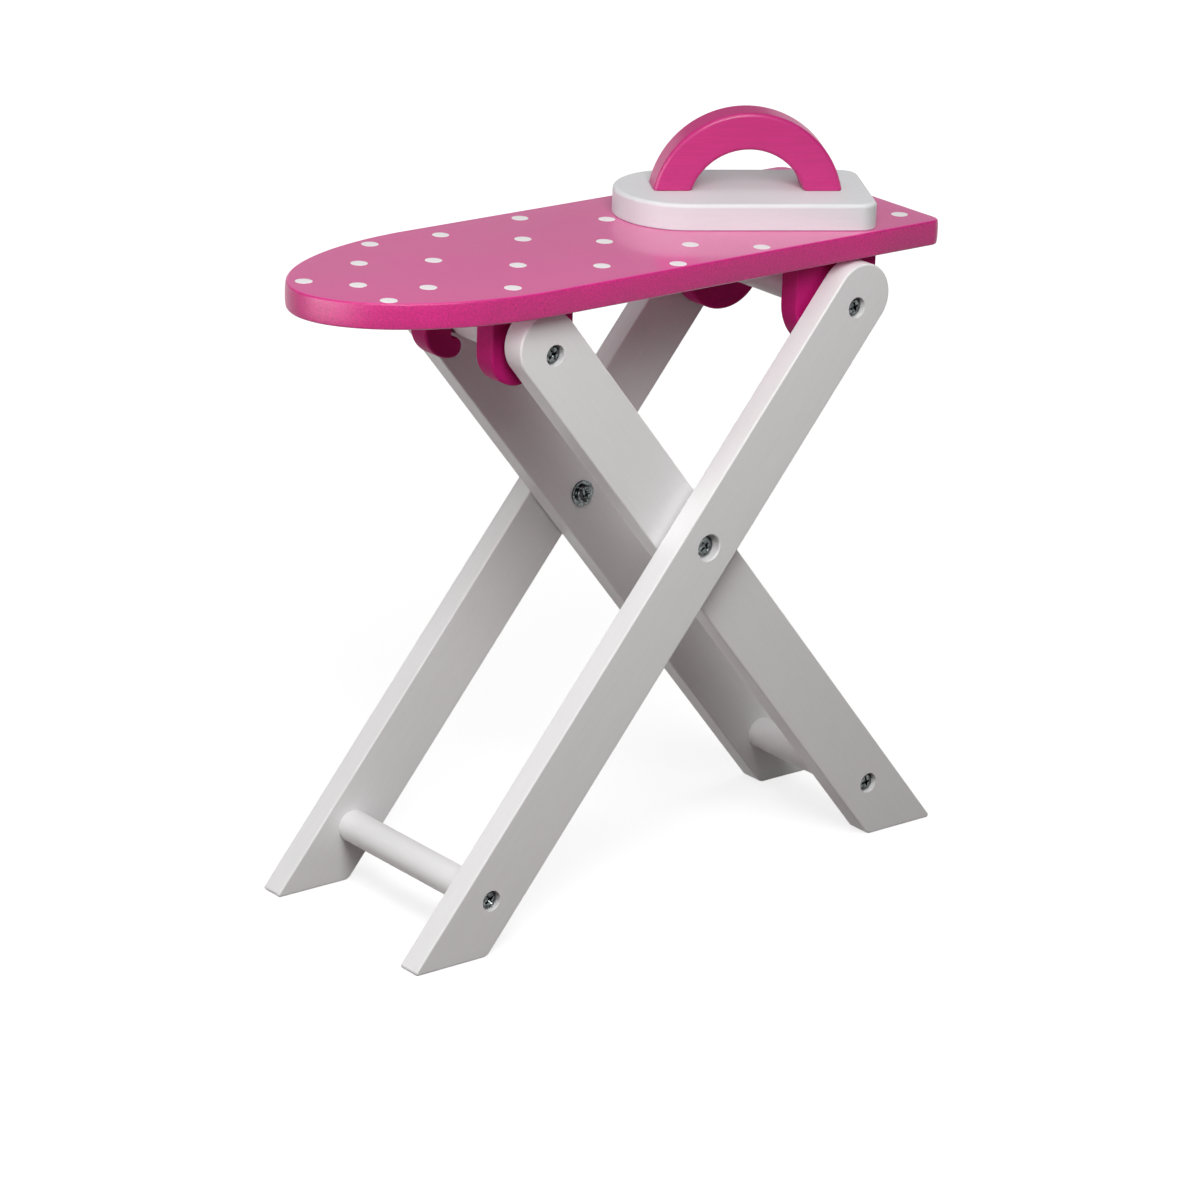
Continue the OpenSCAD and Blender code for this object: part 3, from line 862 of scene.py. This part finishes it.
class TOY_OT_screws(bpy.types.Operator):
    """Build the sunk dowel screws and the hardware at the leg crossing"""

    bl_idname = "toy.screws"
    bl_label = "Screws"

    def execute(self, context):
        legs = settings().legs
        top, foot = outer_dowels()
        front_top, rear_foot = 2 * CROSSING.x - top.x, 2 * CROSSING.x - foot.x
        outer, inner = OUTER_LEG_HIGH.y, INNER_LEG_HIGH.y
        # Piece, node, body, place and the face that the screws are sunk into; the last is how they
        # were left turned.
        rows = (
            ("screws_rear_dowel", "outer_top_screws", "outer_frame", top.x, top.z, outer, 0.5),
            ("screws_front_foot", "outer_foot_screws", "outer_frame", foot.x, foot.z, outer, 1.0),
            ("screws_front_dowel", "inner_top_screws", "inner_frame", front_top, top.z, inner, 0.9),
            ("screws_rear_foot", "inner_foot_screws", "inner_frame", rear_foot, foot.z, inner,
             0.35),
        )
        for name, node, body, x, z, face, turn in rows:
            places = [((x, sign * (face - legs.sink_depth), z), sign, turn * (1 + 0.4 * sign))
                      for sign in (-1, 1)]
            screw_piece(name, node, body, places, radius=legs.screw_head / 2, height=3.4 * MM,
                        shank=1.8 * MM, length=23.1 * MM, cross=2.1 * MM)
        for side, sign in SIDES.items():
            seat = (CROSSING.x, sign * (outer - BARREL_SEAT), CROSSING.z)
            screw_piece("crossing_barrel_" + side, "pivot_barrel_" + side, "outer_frame",
                        [(seat, sign, 0.7)], radius=3.8 * MM, height=2.0 * MM,
                        shank=3.5 * MM, length=16.2 * MM, cross=2.2 * MM)
            # This one's head lies on the washer, which is 1 mm thick, inside the inner leg.
            seat = (CROSSING.x, sign * (INNER_LEG_LOW.y - 1.0 * MM), CROSSING.z)
            screw_piece("crossing_screw_" + side, "pivot_screw_" + side, "outer_frame",
                        [(seat, -sign, 0.3)], radius=3.4 * MM, height=1.8 * MM,
                        shank=2.0 * MM, length=1.2 * MM, cross=1.9 * MM)
        return {"FINISHED"}


def on_iron(a, b, height):
    """A point of the iron in the row frame: a towards its heel, b across, height above its sole."""
    iron = settings().iron
    heel, nose = iron.length / 2 - iron.heel_radius, iron.length / 2 - iron.width / 2
    # Half extents of the turned base from its rounded heel corners and round nose give its centre.
    c, s = math.cos(iron.yaw), math.sin(iron.yaw)
    side = iron.width / 2 - iron.heel_radius
    highs = [max(c * heel + abs(s) * side + iron.heel_radius, -c * nose + iron.width / 2),
             max(-abs(s) * heel + c * side + iron.heel_radius, abs(s) * nose + iron.width / 2)]
    centre = (IRON_HIGH.x - highs[0], IRON_HIGH.y - highs[1])
    return (centre[0] + c * a - s * b, centre[1] + s * a + c * b, IRON_LOW.z + height)


class TOY_OT_iron(bpy.types.Operator):
    """Build the toy iron's base and arched handle"""

    bl_idname = "toy.iron"
    bl_label = "Toy iron"

    def execute(self, context):
        iron = settings().iron
        thick = IRON_HIGH.z - IRON_LOW.z
        half, heel = iron.width / 2, iron.heel_radius
        outline = without_repeats(
            arc((iron.length / 2 - heel, half - heel), heel, 0, 90, 10)
            + arc((half - iron.length / 2, 0), half, 90, 270, 64)
            + arc((iron.length / 2 - heel, heel - half), heel, 270, 360, 10))
        sole_edge = 0.4 * MM
        bm = plate_mesh(outline, 0, thick, iron.edge_radius, on_iron, low_edge=sole_edge)
        white = material_once(white_paint, "on_iron_base", iron.white, 0.55, (16, 1, 1),
                              (0, 0, iron.yaw))
        finish_piece(bm, "iron_base_painted", "iron", [white, white], ["iron_base"])
        self.handle(iron, thick)
        return {"FINISHED"}

    def handle(self, iron, thick):
        """Sweeps the rounded section round the arch; its feet end flat on the base."""
        band, edge = iron.handle_band, iron.handle_edge
        middle = iron.handle_radius - band / 2
        corner = band / 2 - edge
        section = []
        for quarter, (sx, sy) in enumerate(((1, 1), (-1, 1), (-1, -1), (1, -1))):
            start = 90 * quarter
            section += arc((sx * corner, sy * corner), edge, start, start + 90, 6)
        section = without_repeats(section)
        steps, foot = 96, 0.5 * MM
        rings = [(inset(section, foot), 0.0, 0.0), (section, foot, 0.0)]
        rings += [(section, foot, i / steps) for i in range(1, steps)]
        rings += [(section, foot, 1.0), (inset(section, foot), 0.0, 1.0)]
        bm = bmesh.new()
        loops = []
        for shape, rise, share in rings:
            loop = []
            for r, b in shape:
                radius = middle + r
                start = math.asin((iron.handle_sink + rise) / radius)
                angle = start + share * (math.pi - 2 * start)
                a = iron.handle_shift + radius * math.cos(angle)
                height = thick - iron.handle_sink + radius * math.sin(angle)
                loop.append(bm.verts.new(on_iron(a, b, height)))
            loops.append(loop)
        for first, second in zip(loops, loops[1:]):
            bridge(bm, first, second)
        bm.faces.new(loops[0])
        bm.faces.new(loops[-1])
        finish_piece(bm, "iron_handle_painted", "iron",
                     [material_once(pink_wood_paint)], ["iron_handle"])


def area_light(name, place, target, size, power, mirrored=True, bright=True):
    """A soft square lamp that looks at a point. Reflections may leave it out, or show it alone."""
    data = bpy.data.lights.new(name, "AREA")
    data.shape, data.size, data.energy = "SQUARE", size, power
    lamp = bpy.data.objects.new(name, data)
    lamp.location = place
    lamp.visible_glossy, lamp.visible_diffuse = mirrored, bright
    lamp.rotation_mode = "QUATERNION"
    lamp.rotation_quaternion = (Vector(target) - Vector(place)).to_track_quat("-Z", "Y")
    bpy.context.scene.collection.objects.link(lamp)


def shown_white(tree):
    """One for camera, glossy and transmission rays, which see the white floor, else zero."""
    rays = add_node(tree, "ShaderNodeLightPath")
    both = add_node(tree, "ShaderNodeMath",
                    {0: rays.outputs["Is Camera Ray"], 1: rays.outputs["Is Glossy Ray"]},
                    operation="MAXIMUM")
    return add_node(tree, "ShaderNodeMath",
                    {0: both.outputs[0], 1: rays.outputs["Is Transmission Ray"]},
                    operation="MAXIMUM")


class TOY_OT_stage(bpy.types.Operator):
    """Set up the camera, the soft studio light, the world and the floor"""

    bl_idname = "toy.stage"
    bl_label = "Stage"

    def execute(self, context):
        stage = settings().stage
        scene = context.scene
        self.camera(scene, stage)
        scene.view_settings.view_transform = "Standard"
        middle = Vector((0, 0, 0.15))
        # The key stands low in front of the nose; a small lamp nearer to it lights the nose itself.
        area_light("key_soft_box", place=(-1.9, 0.2, 0.3), target=middle, size=0.9,
                   power=stage.key_power)
        nose, front = Vector((-0.13, 0, 0.22)), Vector((-0.75, -0.03, 0.2))
        area_light("nose_soft_box", place=front, target=nose, size=0.38, power=stage.nose_power)
        # A pale card round it shows as a soft highlight on the nose and adds no light of its own.
        area_light("nose_card", place=front, target=nose, size=0.6, power=stage.card_power,
                   bright=False)
        # The near lamp is close and high, so it fades towards the feet.
        area_light("near_soft_box", place=(-0.3, -0.5, 0.7), target=middle, size=0.4,
                   power=stage.near_power)
        # Two low lamps light the sides that the photograph does not show, without a glare on the
        # board's lacquer.
        area_light("far_soft_box", place=(-0.1, 1.75, 0.4), target=middle, size=0.6,
                   power=stage.far_power, mirrored=False)
        area_light("rear_soft_box", place=(1.8, 0.25, 0.4), target=middle, size=0.6,
                   power=stage.rear_power, mirrored=False)
        area_light("top_soft_box", place=middle + 2.4 * Vector((-0.1, -0.1, 0.99)), target=middle,
                   size=1.2, power=stage.top_power)
        world = bpy.data.worlds.new("studio")
        world.use_nodes = True
        tree = world.node_tree
        tree.nodes.clear()
        light = add_node(tree, "ShaderNodeBackground", Color=(1, 1, 1, 1), Strength=stage.ambient)
        out = tree.nodes.new("ShaderNodeOutputWorld")
        tree.links.new(light.outputs[0], out.inputs["Surface"])
        scene.world = world
        self.floor(scene, stage)
        return {"FINISHED"}

    def camera(self, scene, stage):
        """The camera at the photograph's place, direction and lens."""
        az, el, roll = stage.camera_azimuth, stage.camera_elevation, stage.camera_roll
        back = Vector((math.sin(az) * math.cos(el), -math.cos(az) * math.cos(el), math.sin(el)))
        right = Vector((math.cos(az), math.sin(az), 0))
        up = back.cross(right)
        across = right * math.cos(roll) + up * math.sin(roll)
        upward = up * math.cos(roll) - right * math.sin(roll)
        data = bpy.data.cameras.new("camera")
        # A full-frame sensor is 36 mm wide.
        data.lens, data.sensor_width = stage.lens, 36
        data.clip_start, data.clip_end = 0.05, 40
        camera = bpy.data.objects.new("camera", data)
        camera.matrix_world = Matrix((across, upward, back)).transposed().to_4x4()
        camera.location = stage.camera_place
        scene.collection.objects.link(camera)
        scene.camera = camera

    def floor(self, scene, stage):
        """A wide pale floor that sweeps up far out; it shows white where no shadow falls."""
        # Radius and height of the floor's rings in metres.
        rings = ((0.5, 0), (1.5, 0), (3.0, 0), (3.8, 0.06), (4.5, 0.22), (5.2, 0.55), (6.0, 1.2))
        bm = bmesh.new()
        loops = []
        for radius, height in rings:
            points = arc((0, 0), radius, 0, 360, 72)[:-1]
            loops.append([bm.verts.new((x, y, height)) for x, y in points])
        bm.faces.new(loops[0])
        for first, second in zip(loops, loops[1:]):
            bridge(bm, second, first)
        mesh = bpy.data.meshes.new("studio_floor")
        bm.to_mesh(mesh)
        bm.free()
        mesh.shade_smooth()
        floor = bpy.data.objects.new("studio_floor", mesh)
        scene.collection.objects.link(floor)
        material, tree, out = new_material("studio_paper_matt")
        white = shown_white(tree)
        place = add_node(tree, "ShaderNodeTexCoord")
        reach = add_node(tree, "ShaderNodeVectorMath", {0: place.outputs["Object"]},
                         operation="LENGTH")
        # The lamps reach the far paper less, so its lift to white grows with the distance.
        near, far, more = 0.3, 1.8, 0.2
        lift = add_node(tree, "ShaderNodeMapRange", {"Value": reach.outputs["Value"]},
                        From_Min=near, From_Max=far,
                        To_Min=stage.floor_lift, To_Max=stage.floor_lift + more)
        strength = add_node(tree, "ShaderNodeMath", {0: white.outputs[0], 1: lift.outputs[0]},
                            operation="MULTIPLY")
        # Towards the toy the paper throws back little light, and that warm, as a small sheet on a
        # dark table does.
        tone = ramp_between(tree, white.outputs[0], linear(stage.floor_bounce), linear(stage.floor),
                            0.0, 1.0)
        paper = add_node(tree, "ShaderNodeBsdfDiffuse", {"Color": tone.outputs["Color"]})
        glow = add_node(tree, "ShaderNodeEmission", {"Strength": strength.outputs[0]})
        both = add_node(tree, "ShaderNodeAddShader", {0: paper.outputs[0], 1: glow.outputs[0]})
        tree.links.new(both.outputs[0], out.inputs["Surface"])
        mesh.materials.append(material)


class TOY_PT_panel(bpy.types.Panel):
    """Sidebar panel that lists the toy's pieces and settings"""

    bl_idname = "TOY_PT_panel"
    bl_label = "Toy Ironing Board"
    bl_space_type = "VIEW_3D"
    bl_region_type = "UI"
    bl_category = "Toy"

    def draw(self, context):
        toy = context.scene.toy_ironing_board
        for group in (toy.board, toy.legs, toy.iron, toy.stage):
            box = self.layout.box()
            for key in group.bl_rna.properties.keys():
                if key not in ("rna_type", "name"):
                    box.prop(group, key)
        for operator in OPERATORS:
            self.layout.operator(operator.bl_idname)


OPERATORS = (
    TOY_OT_stage, TOY_OT_board, TOY_OT_dots, TOY_OT_rear_brackets, TOY_OT_front_hooks,
    TOY_OT_legs, TOY_OT_dowels, TOY_OT_screws, TOY_OT_iron,
)
CLASSES = (
    BoardSettings, LegSettings, IronSettings, StageSettings, ToySettings, *OPERATORS, TOY_PT_panel,
)


def register():
    """Registers the classes and the settings."""
    for cls in CLASSES:
        bpy.utils.register_class(cls)
    bpy.types.Scene.toy_ironing_board = PointerProperty(type=ToySettings)


def unregister():
    """Takes the settings and the classes away again."""
    del bpy.types.Scene.toy_ironing_board
    for cls in reversed(CLASSES):
        bpy.utils.unregister_class(cls)


def main():
    """Builds everything in order."""
    register()
    bpy.ops.toy.stage()
    bpy.ops.toy.board()
    bpy.ops.toy.dots()
    bpy.ops.toy.rear_brackets()
    bpy.ops.toy.front_hooks()
    bpy.ops.toy.legs()
    bpy.ops.toy.dowels()
    bpy.ops.toy.screws()
    bpy.ops.toy.iron()


if __name__ == "__main__":
    main()
